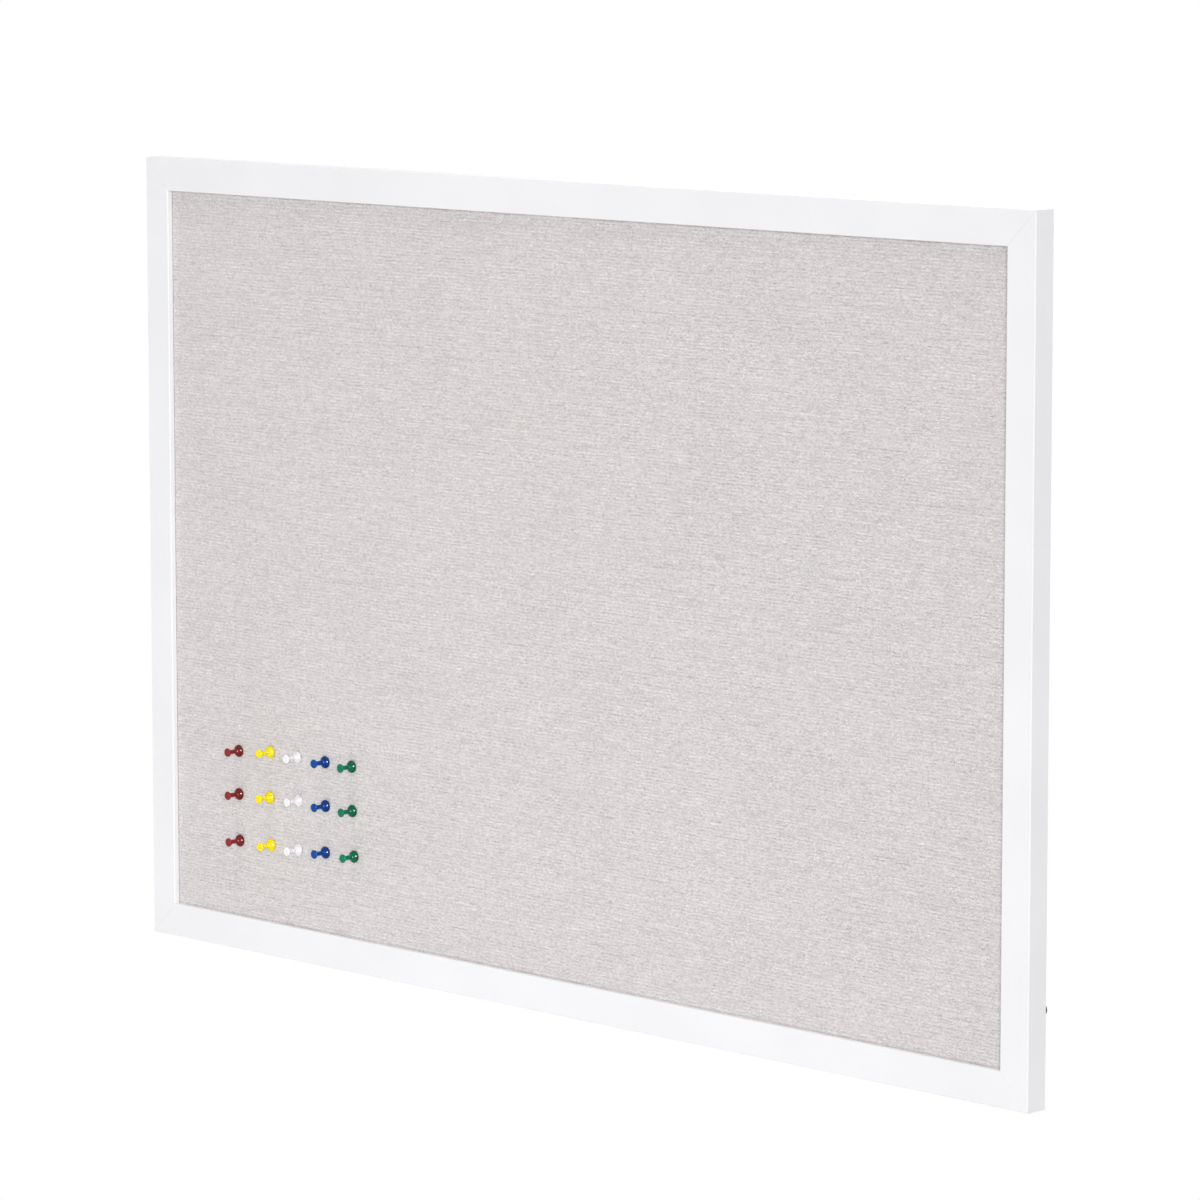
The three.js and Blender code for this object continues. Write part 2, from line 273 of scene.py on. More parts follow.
def mesh_of(name, grids, closed_rows=False, closed_columns=(True,), cloth_places=()):
    """One mesh from grids of points, given as (rows, columns, 3). Points that meet are merged and the
    faces are turned outwards. Cloth places are a flat (u, v) in metres for each point of each grid."""
    mesh = bpy.data.meshes.new(name)
    points = np.concatenate([grid.reshape(-1, 3) for grid in grids])
    starts = np.cumsum([0] + [grid.shape[0] * grid.shape[1] for grid in grids])
    faces = np.concatenate([
        grid_faces(*grid.shape[:2], closed_rows, closed) + start
        for grid, start, closed in zip(grids, starts, closed_columns)
    ])
    mesh.vertices.add(len(points))
    mesh.vertices.foreach_set("co", points.astype(np.float32).ravel())
    mesh.loops.add(faces.size)
    mesh.loops.foreach_set("vertex_index", faces.astype(np.int32).ravel())
    mesh.polygons.add(len(faces))
    mesh.polygons.foreach_set("loop_start", np.arange(0, faces.size, 4, dtype=np.int32))
    mesh.update(calc_edges=True)
    if cloth_places:
        places = np.concatenate([place.reshape(-1, 2) for place in cloth_places])
        layer = mesh.uv_layers.new(name="cloth")
        layer.data.foreach_set("uv", places[faces.ravel()].astype(np.float32).ravel())
    merged = bmesh.new()
    merged.from_mesh(mesh)
    bmesh.ops.remove_doubles(merged, verts=merged.verts, dist=MM / 1000)
    bmesh.ops.recalc_face_normals(merged, faces=merged.faces)
    merged.to_mesh(mesh)
    merged.free()
    mesh.polygons.foreach_set("use_smooth", np.ones(len(mesh.polygons), bool))
    return mesh


def turned(name, low, high, foot, radius, depth, sides):
    """A mesh turned about the middle of a box: at each angle, the radius times (cosine, sine) in the XZ
    plane, and the depth along Y from the foot. Each has one number a row, or one a point."""
    angle = round_angles(sides)
    radius, depth = (np.asarray(rows, float).reshape(len(rows), -1) for rows in (radius, depth))
    x = (low.x + high.x) / 2 + radius * np.cos(angle)
    y = foot + depth + 0 * angle
    z = (low.z + high.z) / 2 + radius * np.sin(angle)
    return mesh_of(name, [np.stack([x, y, z], axis=-1)])


def turned_outline(name, low, high, foot, crown, shares, steps, sides):
    """A smooth outline, in shares of a box's radius and depth, turned about its middle from the foot's
    depth to the crown's."""
    outline = smooth_line(shares, steps)
    radius = outline[:, 0] * ((high.z - low.z) / 2)
    return turned(name, low, high, foot, radius, outline[:, 1] * (crown - foot), sides)


def new_object(data):
    """An object in the scene, at the origin, with its data's name."""
    made = bpy.data.objects.new(data.name, data)
    bpy.context.scene.collection.objects.link(made)
    return made


def piece(mesh, material, body, node):
    """A new object that rides on a body, takes its finish from a slot and stands for a node."""
    mesh.materials.append(material)
    made = new_object(mesh)
    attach(made, body)
    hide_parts(node)
    return made


def coat(material, *prefixes):
    """Gives a material to each CAD node whose name starts with a prefix."""
    for name in sorted(frame["nodes"]):
        if name.startswith(prefixes):
            slots = frame["nodes"][name].data.materials
            slots.clear()
            slots.append(material)


def shaped_by(made, kind, **settings):
    """Adds a modifier to a piece and makes its result the piece's own mesh."""
    modifier = made.modifiers.new(kind.title(), kind)
    for name, value in settings.items():
        setattr(modifier, name, value)
    bpy.context.view_layer.update()
    evaluated = made.evaluated_get(bpy.context.evaluated_depsgraph_get())
    shaped = bpy.data.meshes.new_from_object(evaluated)
    made.modifiers.clear()
    made.data = shaped


def length(name, default, description):
    """A property that holds a length in metres."""
    return bpy.props.FloatProperty(
        name=name, default=default, description=description, subtype="DISTANCE", unit="LENGTH",
        precision=5)


def colour(name, levels, description):
    """A property that holds a linear colour, given here as screen levels."""
    return bpy.props.FloatVectorProperty(
        name=name, default=from_screen(*levels), description=description, subtype="COLOR", size=3,
        min=0, max=1)


def number(name, default, description, most=1.0):
    """A property that holds a plain number from 0 up to most."""
    return bpy.props.FloatProperty(name=name, default=default, description=description, min=0, max=most)


def rotation(name, degrees, description):
    """A property that holds an angle, given here in degrees."""
    return bpy.props.FloatProperty(
        name=name, default=math.radians(degrees), description=description, subtype="ANGLE",
        unit="ROTATION")


# Rails


class RailSettings(PropertyGroup):
    """The white paint of the frame."""

    paint: colour("Paint", (239, 239, 241), "Colour of the satin paint on the rails")
    gloss: number("Roughness", 0.42, "How matt the paint is, from a mirror at 0 to chalk at 1")
    peel: length("Peel", 1.6 * MM, "Width of the soft waves that a sprayed coat dries with")
    peel_depth: length("Peel Depth", 0.02 * MM, "Height of those waves")


def paint_finish(settings):
    """Sprayed satin paint: soft waves and fine dust in the coat, and a tone that drifts a little."""
    shading = new_shading("satin_paint")
    place = shading.solid_place()
    waves = shading.noise(place, settings.peel, detail=2.0)
    dust = shading.noise(place, 0.35 * MM, detail=0.0, start=(MM, 0, 0))
    drift = shading.noise(place, 90 * MM, detail=2.0)
    tone = shading.step(drift * 0.6 + dust * 0.4, 0.3, 0.7)
    return finish(
        shading,
        shading.blend(tone, toned(settings.paint, 0.965), toned(settings.paint, 1.012)),
        (waves - 0.5) * 0.16 + settings.gloss,
        shading.bump(waves * 0.8 + dust * 0.2, settings.peel_depth),
        Specular_IOR_Level=0.4,
    )


class PINBOARD_OT_paint_rails(Operator):
    """Paint the four mitred rails"""

    bl_idname = "pinboard.paint_rails"
    bl_label = "Paint Rails"

    def execute(self, context):
        coat(paint_finish(context.scene.pin_board_rails), "rail_")
        return {"FINISHED"}


# Linen


class LinenSettings(PropertyGroup):
    """The cloth, how it is folded round the panel, and its weave."""

    light_yarn: colour("Light Yarn", (247, 242, 241), "Colour of the palest fibres")
    dark_yarn: colour("Dark Yarn", (176, 171, 171), "Colour of the darkest fibres")
    slub_colour: colour("Slub", (150, 146, 148), "Colour of the dark flecks spun into the yarn")
    nub_colour: colour("Nub", (248, 246, 246), "Colour of the pale nubs on the face")
    weft: length("Weft", 0.84 * MM, "Distance from one yarn that runs across to the next")
    warp: length("Warp", 0.78 * MM, "Distance from one yarn that runs up to the next")
    weave_depth: length("Weave Depth", 0.22 * MM, "Height of the yarns over the gaps between them")
    thickness: length("Thickness", 0.5 * MM, "Thickness of the cloth")
    fold: length("Fold Radius", 1.1 * MM, "Radius of the folds over the panel's edges")
    corner: length("Corner Radius", 1.6 * MM, "Radius of the panel's covered corners")
    turn_in: length("Turn-in", 28.6 * MM, "How far the cloth reaches in over the back")
    slack: length("Slack", 0.14 * MM, "How far the stretched face rises and falls")
    pleat: length("Pleat", 0.42 * MM, "How far the cloth stands up where it is folded at a corner")
    fray: length("Fray", 0.5 * MM, "How far the cut edge on the back strays from a straight line")


LINEN_GRID = 5.2 * MM
PLEAT_WIDTH = 5 * MM
CREASE_WIDTH = 0.5 * MM


def edge_section(settings):
    """The cloth's path from its face to its cut edge, as a distance in from the outline, a depth along
    Y, a length along the cloth, and a share of the turn-in on the back. It is a line, a quarter circle,
    the side, a quarter circle and a line."""
    front, back, fold = LINEN_LOW.y, LINEN_HIGH.y, settings.fold
    flap_shares = np.linspace(0, 1, 15)[1:] ** 1.2
    over_front = arc((fold, front + fold), fold, 270, 180, 6)
    over_back = arc((fold, back - fold), fold, 180, 90, 6)
    flap_insets = fold + (settings.turn_in - fold) * flap_shares
    flap = np.column_stack([flap_insets, np.full(len(flap_insets), back)])
    path = np.vstack([[[4 * fold + settings.corner, front]], over_front, over_back, flap])
    run = np.concatenate([[0], np.cumsum(np.linalg.norm(np.diff(path, axis=0), axis=1))])
    on_flap = np.concatenate([np.zeros(len(path) - len(flap_shares)), flap_shares])
    return path[:, 0], path[:, 1], run, on_flap


def side_shares(half_length, spacing):
    """Places along a side from -1 to 1 at about that spacing, closer near the folds at its ends."""
    near = np.array([0, 0.35, 0.8, 1.4, 2.2, 3.4, 5, 7, 10, 14]) * MM / half_length
    inner = 1 - near[-1]
    middle = np.linspace(-inner, inner, 2 * round(inner * half_length / spacing / 2) + 1)
    return np.concatenate([near - 1, middle[1:-1], (1 - near)[::-1]])


def outline_loop(across, up, corner_steps):
    """Places round a unit square with their outward directions: a side, then a corner's quarter turn,
    four times over."""
    angle = np.radians(np.linspace(90, 0, corner_steps + 2)[1:-1])
    quarter_turn = np.stack([np.cos(angle), np.sin(angle)], 1)
    quarters = []
    for quarter in range(4):
        along = (across, up)[quarter % 2]
        place = np.vstack([np.stack([along, np.ones(len(along))], 1), np.ones((corner_steps, 2))])
        ahead = np.vstack([np.tile([0.0, 1.0], (len(along), 1)), quarter_turn])
        for _ in range(quarter):
            place, ahead = (np.stack([grid[:, 1], -grid[:, 0]], 1) for grid in (place, ahead))
        quarters.append((place, ahead))
    return (np.vstack(grids) for grids in zip(*quarters))


def slack_of(x, z, half_width, half_height, depth):
    """How far the face stands out: a low crown plus three long waves, both fading to 0 at its edges."""
    crown = (1 - (x / half_width) ** 2) * (1 - (z / half_height) ** 2)
    waves = (
        np.sin(x / 0.071 + 1.1) * np.sin(z / 0.049 + 0.3)
        + 0.7 * np.sin(x / 0.043 + z / 0.122 + 2.2)
        + 0.6 * np.sin(z / 0.027 - x / 0.21 + 0.7)
    )
    fade = np.clip(crown / 0.25, 0, 1)
    return depth * fade * (0.5 + 0.35 * waves)


def laid_flat(place, half, run, outward):
    """Where cloth lies once it is unfolded: at the panel's half plus its run along the cloth, by the
    share in which it runs outward along this axis, and otherwise where it is."""
    return place + (np.sign(place) * (half + run) - place) * np.abs(outward)


def linen_mesh(settings):
    """The face is a flat grid with a little slack. Round it runs a band: the edge section carried along
    a rectangle with round corners. At a distance d in from it, each point is a place on the rectangle
    drawn in by the larger of d and the corner's radius, plus the outward direction times what is left
    of that radius. At the corners on the back, a pleat lifts the band on both sides of a crease."""
    half_width, half_height = LINEN_HIGH.x, LINEN_HIGH.z
    across = side_shares(half_width, LINEN_GRID)
    up = side_shares(half_height, LINEN_GRID)
    inset, depth, run, on_flap = (row[:, None] for row in edge_section(settings))
    places, ahead = outline_loop(across, up, 5)
    start = inset[0, 0]

    walk = np.concatenate([[0], np.cumsum(np.linalg.norm(np.diff(places, axis=0), axis=1))])
    turns = walk / (walk[-1] + np.linalg.norm(places[0] - places[-1])) * math.tau
    stray = 0.5 * np.sin(23 * turns) + 0.3 * np.sin(57 * turns + 1) + 0.2 * np.sin(141 * turns + 2)
    inset = inset + settings.fray * stray[None, :] * on_flap**3
    drawn_in = np.maximum(inset, settings.corner)
    x = places[:, 0] * (half_width - drawn_in) + ahead[:, 0] * (drawn_in - inset)
    z = places[:, 1] * (half_height - drawn_in) + ahead[:, 1] * (drawn_in - inset)

    to_corner_x = (1 - np.abs(places[:, 0])) * half_width
    to_corner_z = (1 - np.abs(places[:, 1])) * half_height
    to_fold = (to_corner_x + to_corner_z)[None, :]
    pleat = np.exp(-((to_fold / PLEAT_WIDTH) ** 2)) - 1.3 * np.exp(-((to_fold / CREASE_WIDTH) ** 2))
    lift = settings.pleat * pleat * np.clip(on_flap * 6, 0, 1)
    band = np.stack([x, depth + lift, z], axis=-1)
    flat_u = laid_flat(x, half_width, run, ahead[:, 0])
    flat_v = laid_flat(z, half_height, run, ahead[:, 1])

    face_x = (across * (half_width - start))[None, :]
    face_z = (up * (half_height - start))[:, None]
    slack = slack_of(face_x, face_z, half_width - start, half_height - start, settings.slack)
    face_x, face_z = np.broadcast_arrays(face_x, face_z)
    face = np.stack([face_x, LINEN_LOW.y - slack, face_z], axis=-1)
    cloth_places = [np.stack([face_x, face_z], axis=-1), np.stack([flat_u, flat_v], axis=-1)]
    return mesh_of("linen_stretched", [face, band], False, (False, True), cloth_places)


def linen_finish(settings):
    """Slubby plain weave. Each yarn has its own tone, which changes along it in short dashes and long
    streaks. Weft and warp pass over each other by turns: a yarn's height is the arch of its section plus
    a wave along it, and the higher one shows. Here and there a weft yarn has a dark slub or pale nub."""
    shading = new_shading("linen_weave")
    cloth = shading.add("ShaderNodeUVMap", {"uv_map": "cloth"})
    x, z = (shading.add("ShaderNodeSeparateXYZ", {}, {0: cloth}, out=axis) for axis in ("X", "Y"))
    wander = shading.noise(cloth, (60 * MM, 14 * MM, 1), detail=2.0) - 0.5
    weft_turn = z / settings.weft + wander * 2
    warp_turn = x / settings.warp + wander * 1.2
    weft = shading.maths("FLOOR", weft_turn)
    warp = shading.maths("FLOOR", warp_turn)
    weft_arch = 0.5 - shading.wave(weft_turn) * 0.5
    warp_arch = 0.5 - shading.wave(warp_turn) * 0.5
    weft_height = weft_arch * 0.6 + shading.wave((warp_turn + weft) * 0.5) * 0.4 + 0.25
    warp_height = warp_arch * 0.6 - shading.wave((weft_turn + warp) * 0.5) * 0.4
    weft_shows = shading.step(weft_height - warp_height, -0.15, 0.15)

    dashes = shading.along(x, weft, 2.5 * MM, 1.0, 0)
    threads = shading.along(x, weft, 9 * MM, 1.0, 20)
    streaks = shading.along(x, weft, 42 * MM, 2.0, 40)
    crossing = shading.along(z, warp, 5 * MM, 2.0, 60)
    fibres = shading.noise(cloth, (1.2 * MM, 0.16 * MM, 1), detail=2.0, start=(0, 0.3, 0))
    drift = shading.noise(cloth, (120 * MM, 60 * MM, 1), detail=2.0, start=(0.2, 0.2, 0))
    weft_tone = (dashes - 0.5) * 1.25 + (threads - 0.5) * 0.65 + (streaks - 0.5) * 0.5
    warp_tone = (crossing - 0.5) * 0.8 + 0.06
    tone = (
        warp_tone + (weft_tone - warp_tone) * (weft_shows * 0.65 + 0.35)
        # painted shade: each yarn is darker towards the gaps beside it
        + (weft_arch * 0.7 + warp_arch * 0.3 - 0.5) * 0.18
        + (fibres - 0.5) * 0.3
        + (drift - 0.5) * 0.1
        + shading.wave(weft_turn / 3) * 0.058
        + 0.5
    )
    yarn = shading.blend(tone, settings.dark_yarn, settings.light_yarn)
    slubs = shading.step(shading.along(x, weft, 4.4 * MM, 0.0, 80), 0.78, 0.86) * weft_arch
    nubs = shading.step(shading.along(x, weft, 2.4 * MM, 0.0, 100), 0.77, 0.86) * weft_arch
    flecked = shading.blend(slubs * 0.9, yarn, settings.slub_colour)
    nubbed = shading.blend(nubs * 0.9, flecked, settings.nub_colour)
    height = shading.maths("MAXIMUM", weft_height, warp_height) * 0.75 + fibres * 0.15 + nubs * 0.2
    return finish(
        shading,
        nubbed,
        0.95 - fibres * 0.12,
        shading.bump(height, settings.weave_depth),
        Specular_IOR_Level=0.15,
        Sheen_Weight=0.08,
        Sheen_Roughness=0.5,
    )


class PINBOARD_OT_stretch_linen(Operator):
    """Stretch the linen over the panel and turn it in on the back"""

    bl_idname = "pinboard.stretch_linen"
    bl_label = "Stretch Linen"

    def execute(self, context):
        settings = context.scene.pin_board_linen
        mesh = linen_mesh(settings)
        linen = piece(mesh, linen_finish(settings), ROOT_BODY, "linen_cover")
        shell = linen.modifiers.new("Cloth Thickness", "SOLIDIFY")
        shell.thickness = settings.thickness
        shell.offset = -1
        return {"FINISHED"}


# Panel behind the linen


class PanelSettings(PropertyGroup):
    """The cork and the fibreboard behind the linen."""

    cork: colour("Cork", (188, 140, 92), "Colour of the cork's granules")
    cork_dark: colour("Dark Cork", (104, 66, 38), "Colour of the bark flecks and of the binder")
    granule: length("Granule", 2.4 * MM, "Width of a cork granule")
    fibre: colour("Fibre", (172, 146, 112), "Colour of the fibreboard")
    fibre_dark: colour("Dark Fibre", (118, 94, 68), "Colour of the fibreboard's darkest fibres")


def cork_finish(settings):
    """Pressed cork: granules of mixed browns with dark binder between them."""
    shading = new_shading("pressed_cork")
    place = shading.solid_place()
    edges = shading.grains(place, settings.granule)
    tint = shading.noise(place, 3 * MM, detail=3.0)
    crumbs = shading.noise(place, 0.5 * MM, detail=2.0)
    body = shading.blend(shading.step(tint, 0.56, 0.68), settings.cork, settings.cork_dark)
    seams = 1 - shading.step(edges, 0.0, 0.09)
    return finish(
        shading,
        shading.blend(seams * 0.7 + crumbs * 0.2, body, settings.cork_dark),
        crumbs * 0.2 + 0.75,
        shading.bump(shading.step(edges, 0.0, 0.2) * 0.7 + crumbs * 0.3, 0.3 * MM),
        Specular_IOR_Level=0.25,
    )


def fibreboard_finish(settings):
    """Felted fibreboard: fine curled fibres that lie four ways, darker clumps and a few pale chips."""
    shading = new_shading("felted_fibreboard")
    place = shading.solid_place()
    ways = [
        shading.noise(place, (3.4 * MM, 2 * MM, 0.4 * MM), detail=3.0, turn=turn, curl=0.7)
        for turn in (8, 51, 97, 144)
    ]
    fibres = (ways[0] + ways[1] + ways[2] + ways[3]) / 4
    clumps = shading.noise(place, (11 * MM, 9 * MM, 6 * MM), detail=3.0)
    chips = shading.step(shading.noise(place, (1.8 * MM, 1.8 * MM, 0.8 * MM), detail=0.0), 0.74, 0.8)
    tone = shading.step(fibres * 0.8 + clumps * 0.2, 0.36, 0.64)
    felt = shading.blend(tone, settings.fibre_dark, settings.fibre)
    return finish(
        shading,
        shading.blend(chips * 0.6, felt, toned(settings.fibre, 1.35)),
        fibres * 0.2 + 0.72,
        shading.bump(fibres * 0.8 + chips * 0.2, 0.25 * MM),
        Specular_IOR_Level=0.2,
    )


class PINBOARD_OT_finish_panel(Operator):
    """Give the cork and the fibreboard their grain"""

    bl_idname = "pinboard.finish_panel"
    bl_label = "Finish Panel"

    def execute(self, context):
        settings = context.scene.pin_board_panel
        coat(cork_finish(settings), "cork_sheet")
        coat(fibreboard_finish(settings), "fibreboard_backing")
        return {"FINISHED"}


# Push pins


class PinSettings(PropertyGroup):
    """The push pins' plastics and their steel."""

    red: colour("Red", (146, 46, 48), "Colour of the red heads")
    yellow: colour("Yellow", (248, 228, 34), "Colour of the yellow heads")
    white: colour("White", (239, 238, 241), "Colour of the white heads")
    blue: colour("Blue", (1, 74, 156), "Colour of the blue heads")
    green: colour("Green", (3, 126, 92), "Colour of the green heads")
    gloss: number("Roughness", 0.17, "How matt the moulded plastic is")
    shine: number("Shine", 0.12, "How strongly the plastic mirrors what is round it")


NEEDLE_POINT = 2.5 * MM
HEAD_SIDES = 56

# The head's outline from the needle's hole to the middle of the knob's face, in shares of the collar's
# radius and of the head's length
HEAD_SHARES = (
    (0.13, 0.0), (0.5, 0.0), (0.84, 0.0), (0.93, 0.008), (0.985, 0.03), (1.0, 0.065), (0.985, 0.1),
    (0.93, 0.14), (0.84, 0.182), (0.7, 0.232), (0.55, 0.278), (0.44, 0.318), (0.385, 0.36),
    (0.365, 0.43), (0.36, 0.55), (0.368, 0.68), (0.4, 0.755), (0.47, 0.81), (0.57, 0.855), (0.66, 0.888),
    (0.705, 0.915), (0.715, 0.94), (0.705, 0.965), (0.66, 0.988), (0.58, 0.998), (0.45, 1.0),
    (0.3, 0.997), (0.12, 0.994), (0.09, 0.99), (0.0, 0.99),
)

# The plastic is darker where it is thick, and painted shade darkens it further towards the collar and
# most at the collar's rim. Along the head it is thin over the knob's share, and thickens over the next.
# On the axis it has the core's share of the rim's darkness
KNOB_SHARE = 0.1
THICKENING_SHARE = 0.5
CORE_SHARE_OF_RIM_SHADE = 0.55
THICK_AND_PAINTED_SHADE_DARKNESS = 0.95

# How light each row's plastic is before that
BATCH_SHARES = {"top": 0.88, "middle": 0.85, "bottom": 1.0}


def tone_head_with_painted_shade(mesh, low, high, lightest):
    """Keeps each point's tone with the mesh: the lightest less a darkening, partly the deeper colour of
    thick plastic and partly painted shade, which grows from the knob to the collar, and from the axis
    outwards with the square of the radius."""
    places = np.empty(len(mesh.vertices) * 3, np.float32)
    mesh.vertices.foreach_get("co", places)
    x, y, z = places.reshape(-1, 3).T
    middle = (low + high) / 2
    out = np.clip(np.hypot(x - middle.x, z - middle.z) / (high.z - middle.z), 0, 1)
    to_collar = (y - low.y) / (high.y - low.y)
    # painted shade: darker towards the collar and, with the square of the radius, towards its rim,
    # besides the deeper colour of thick plastic
    thick_and_shaded = np.clip((to_collar - KNOB_SHARE) / THICKENING_SHARE, 0, 1)
    tones_with_painted_shade = lightest - THICK_AND_PAINTED_SHADE_DARKNESS * thick_and_shaded * (CORE_SHARE_OF_RIM_SHADE + (1 - CORE_SHARE_OF_RIM_SHADE) * out**2)
    mesh.attributes.new("batch", "FLOAT", "POINT").data.foreach_set("value", tones_with_painted_shade)


def needle_mesh(name, low, high):
    """A drawn wire turned about the pin's axis: a flat end inside the head, a straight shank and a
    ground point, whose radius falls by the power 1.25 of the share along it."""
    radius = (high.z - low.z) / 2
    shank_end = high.y - low.y - NEEDLE_POINT
    share_of_point = np.linspace(0, 1, 10)
    radii = np.concatenate([[0, radius, radius], radius * (1 - share_of_point**1.25)[1:]])
    depths = np.concatenate([[0, 0, shank_end], shank_end + NEEDLE_POINT * share_of_point[1:]])
    return turned(name, low, high, low.y, radii, depths, 24)


def plastic_finish(name, hue, settings):
    """Moulded plastic: deeper or paler by the tone kept with the mesh, which holds each row's lightness
    and the painted shade over the collar, with faint flow marks and a skin that is nearly flat."""
    shading = new_shading(name)
    # the kept tone holds each row's lightness and the painted shade on the collar and its rim
    batch = shading.add("ShaderNodeAttribute", {"attribute_name": "batch"}, out="Fac")
    flow = shading.noise(shading.solid_place(), (2.2 * MM, 6 * MM, 2.2 * MM), detail=2.0)
    deep_and_shaded = tuple((0.45 + 0.5 * max(hue)) * part**1.15 for part in hue)
    return finish(
        shading,
        shading.blend(batch + (flow - 0.5) * 0.12, deep_and_shaded, hue),
        (flow - 0.5) * 0.1 + settings.gloss,
        shading.bump(flow, 0.03 * MM),
        Specular_IOR_Level=settings.shine,
    )


def drawn_steel(name, tint, roughness, grain):
    """Bright steel with fine drawing lines of the given grain and a tone that drifts."""
    shading = new_shading(name)
    place = shading.solid_place()
    lines = shading.noise(place, grain, detail=2.0)
    cloud = shading.noise(place, 3 * MM, detail=3.0)
    return finish(
        shading,
        shading.blend(shading.step(cloud, 0.3, 0.7), toned(tint, 0.8), tint),
        (lines - 0.5) * 0.22 + (cloud - 0.5) * 0.12 + roughness,
        shading.bump(lines, 0.015 * MM),
        Metallic=1.0,
    )


class PINBOARD_OT_mould_pins(Operator):
    """Mould the push pins' heads and draw their needles"""

    bl_idname = "pinboard.mould_pins"
    bl_label = "Mould Pins"

    def execute(self, context):
        settings = context.scene.pin_board_pins
        steel = drawn_steel("needle_steel", (0.72, 0.73, 0.75), 0.2, (0.12 * MM, 4 * MM, 0.12 * MM))
        mirroring = bpy.data.collections[MOULDED].objects
        for hue in PIN_COLOURS:
            plastic = plastic_finish(f"moulded_{hue}", getattr(settings, hue), settings)
            for row, lightest in BATCH_SHARES.items():
                pin = f"{hue}_{row}"
                node = f"pin_head_{pin}"
                low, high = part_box(node)
                head = turned_outline(
                    f"moulded_head_{pin}", low, high, high.y, low.y, HEAD_SHARES, 5, HEAD_SIDES)
                tone_head_with_painted_shade(head, low, high, lightest)
                mirroring.link(piece(head, plastic, f"pin_{pin}", node))
                node = f"pin_needle_{pin}"
                needle = needle_mesh(f"drawn_needle_{pin}", *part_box(node))
                piece(needle, steel, f"pin_{pin}", node)
        return {"FINISHED"}


# Hangers


class HangerSettings(PropertyGroup):
    """The folded straps, their rings and screws, and the other steel on the back."""

    zinc: colour("Zinc", (205, 208, 212), "Colour of the zinc-plated steel")
    strip_steel: colour("Strip Steel", (176, 180, 184), "Colour of the points and corner nails")
    sheet: length("Sheet", 0.8 * MM, "Thickness of the strap before it is folded double")
    hole: length("Hole", 1.7 * MM, "Radius of the hole that the screw goes through")
    wire: length("Wire", 1.0 * MM, "Radius of the ring's wire")
    ring_half: length("Ring Half Width", 7.0 * MM, "From the middle of the ring to its wire's axis")
    ring_leg: length("Ring Leg", 3.0 * MM, "Straight part between the ring's bar and its bow")
    ring_corner: length("Ring Corner", 1.5 * MM, "Radius of the ring's bends")
    ring_tilt: rotation("Ring Tilt", 6, "How far the hanging ring leans away from its strap at rest")
    thread: length("Thread", 1.3 * MM, "Distance from one turn of the screw's thread to the next")


def strap_path(low, high, pivot, sheet):
    """The middle of the folded sheet as (half width, depth, height). It goes up along the rail, round the
    ring's bar, back in by an equal and opposite bend, and down on itself. Both tails are half circles."""
    half = (high.x - low.x) / 2
    bend = (high.z - pivot.z) - sheet / 2
    under = low.y + sheet / 2
    over = under + sheet
    fall = math.acos(1 - (pivot.y + bend - over) / (2 * bend))
    over_bar = arc((pivot.y, pivot.z), bend, 180, -math.degrees(fall), 40)
    back_centre = (pivot.y + 2 * bend * math.cos(fall), pivot.z - 2 * bend * math.sin(fall))
    back_in = arc(back_centre, bend, 180 - math.degrees(fall), 180, 18)[1:]
    curve = np.vstack([over_bar, back_in])
    bent = np.column_stack([np.full(len(curve), half), curve])
    tail = low.z + half
    down_tail, out_tail = arc((0, 0), half, 90, 0, 14).T

    def layer(depth, top):
        """A straight layer of the sheet at that depth, from its top down to the end of its tail."""
        shaft = np.linspace(top, tail, 12)[1:-1]
        widths = np.concatenate([np.full(len(shaft), half), out_tail])
        heights = np.concatenate([shaft, tail - down_tail])
        return np.column_stack([widths, np.full(len(widths), depth), heights])

    return np.vstack([layer(under, pivot.z)[::-1], bent, layer(over, back_in[-1, 1])])


def strap_mesh(name, low, high, pivot, sheet):
    """The strap's path carried across its width: at each step, the half width times -1 to 1 along X."""
    path = strap_path(low, high, pivot, sheet)
    across = np.linspace(-1, 1, 13)[None, :]
    x = (low.x + high.x) / 2 + path[:, :1] * across
    y, z = (np.broadcast_to(path[:, k:k + 1], x.shape) for k in (1, 2))
    return mesh_of(name, [np.stack([x, y, z], axis=-1)], closed_columns=(False,))


def ring_mesh(name, pivot, settings):
    """A round wire carried along a closed D: a bar on the pivot's axis, two small bends, two legs and a
    half-circle bow. Each point is the path plus the wire's radius times (outward, along Y) by angle. The
    ring is then tilted about the pivot."""
    half, leg, corner = settings.ring_half, settings.ring_leg, settings.ring_corner
    right_bend = arc((half - corner, -corner), corner, 90, 0, 9)
    left_bend = arc((corner - half, -corner), corner, 180, 90, 9)
    bow = arc((0, -leg), half, 0, -180, 44)
    bar = np.stack([np.linspace(corner - half, half - corner, 10)[1:-1], np.zeros(8)], 1)
    path = np.vstack([bar, right_bend, bow, left_bend])
    ahead = np.roll(path, -1, axis=0) - np.roll(path, 1, axis=0)
    ahead /= np.linalg.norm(ahead, axis=1, keepdims=True)
    outward = np.stack([-ahead[:, 1], ahead[:, 0]], 1)
    angle = round_angles(20)
    x = path[:, :1] + settings.wire * outward[:, :1] * np.cos(angle)
    z = path[:, 1:] + settings.wire * outward[:, 1:] * np.cos(angle)
    y = settings.wire * np.sin(angle) + 0 * x
    mesh = mesh_of(name, [np.stack([x, y, z], axis=-1)], closed_rows=True)
    mesh.transform(Matrix.Translation(pivot) @ Matrix.Rotation(settings.ring_tilt, 4, "X"))
    return mesh


# The screw's sizes, within the node that it stands for
SCREW_HEAD_HEIGHT = 1.8 * MM
SCREW_SHANK = 1.42 * MM
SCREW_ROOT = 1.05 * MM
SCREW_TIP = 3 * MM
RECESS_ARM = 1.5 * MM
RECESS_HALF_WIDTH = 0.36 * MM
RECESS_DEPTH = 1.1 * MM
RECESS_WALL = 0.12 * MM
RECESS_SLOPE = 0.7 * MM


